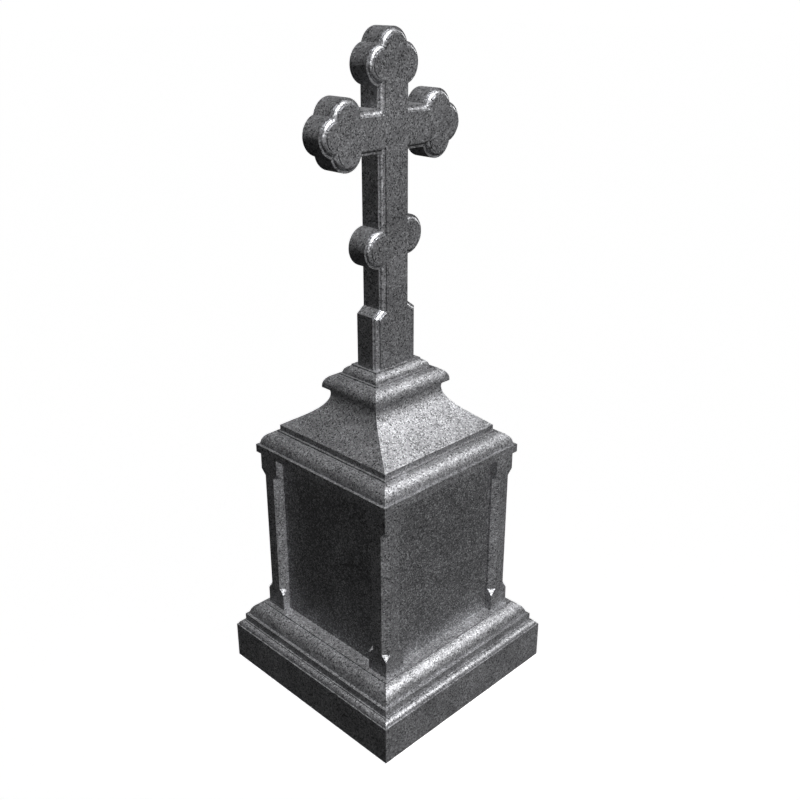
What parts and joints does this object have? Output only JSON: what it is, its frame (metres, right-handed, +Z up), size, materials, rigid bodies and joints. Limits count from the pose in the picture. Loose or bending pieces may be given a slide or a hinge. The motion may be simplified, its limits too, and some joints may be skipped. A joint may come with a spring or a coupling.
{
  "type": "granite grave cross on a pedestal",
  "caption": "Granite grave cross with trefoil ends on a square stepped pedestal with chamfered corner posts, recessed panels, a cornice and a swept roof stone.",
  "frame": {"origin": "centre of the underside of the plinth, on the ground", "axes": "+Z up, +X to the cross's arm on the right as seen from the front, -Y towards the front face of the cross"},
  "size_m": [0.7, 0.7, 1.9558],
  "materials": {
    "granite": "polished fine-grained dark granite",
    "panel_granite": "polished fine-grained dark granite",
    "cross_granite": "polished fine-grained dark granite"
  },
  "bodies": {
    "root": {"plinth_block": "granite", "bead_course": "granite", "base_band": "granite", "base_moulding": "granite", "post_front_left": "granite", "post_front_right": "granite", "post_back_right": "granite", "post_back_left": "granite", "panel_front": "panel_granite", "panel_right": "panel_granite", "panel_back": "panel_granite", "panel_left": "panel_granite", "cornice_band": "granite", "cornice_moulding": "granite", "roof_stone": "granite", "neck_nose": "granite", "cross_seat": "granite", "cross": "cross_granite"}
  },
  "joints": []
}
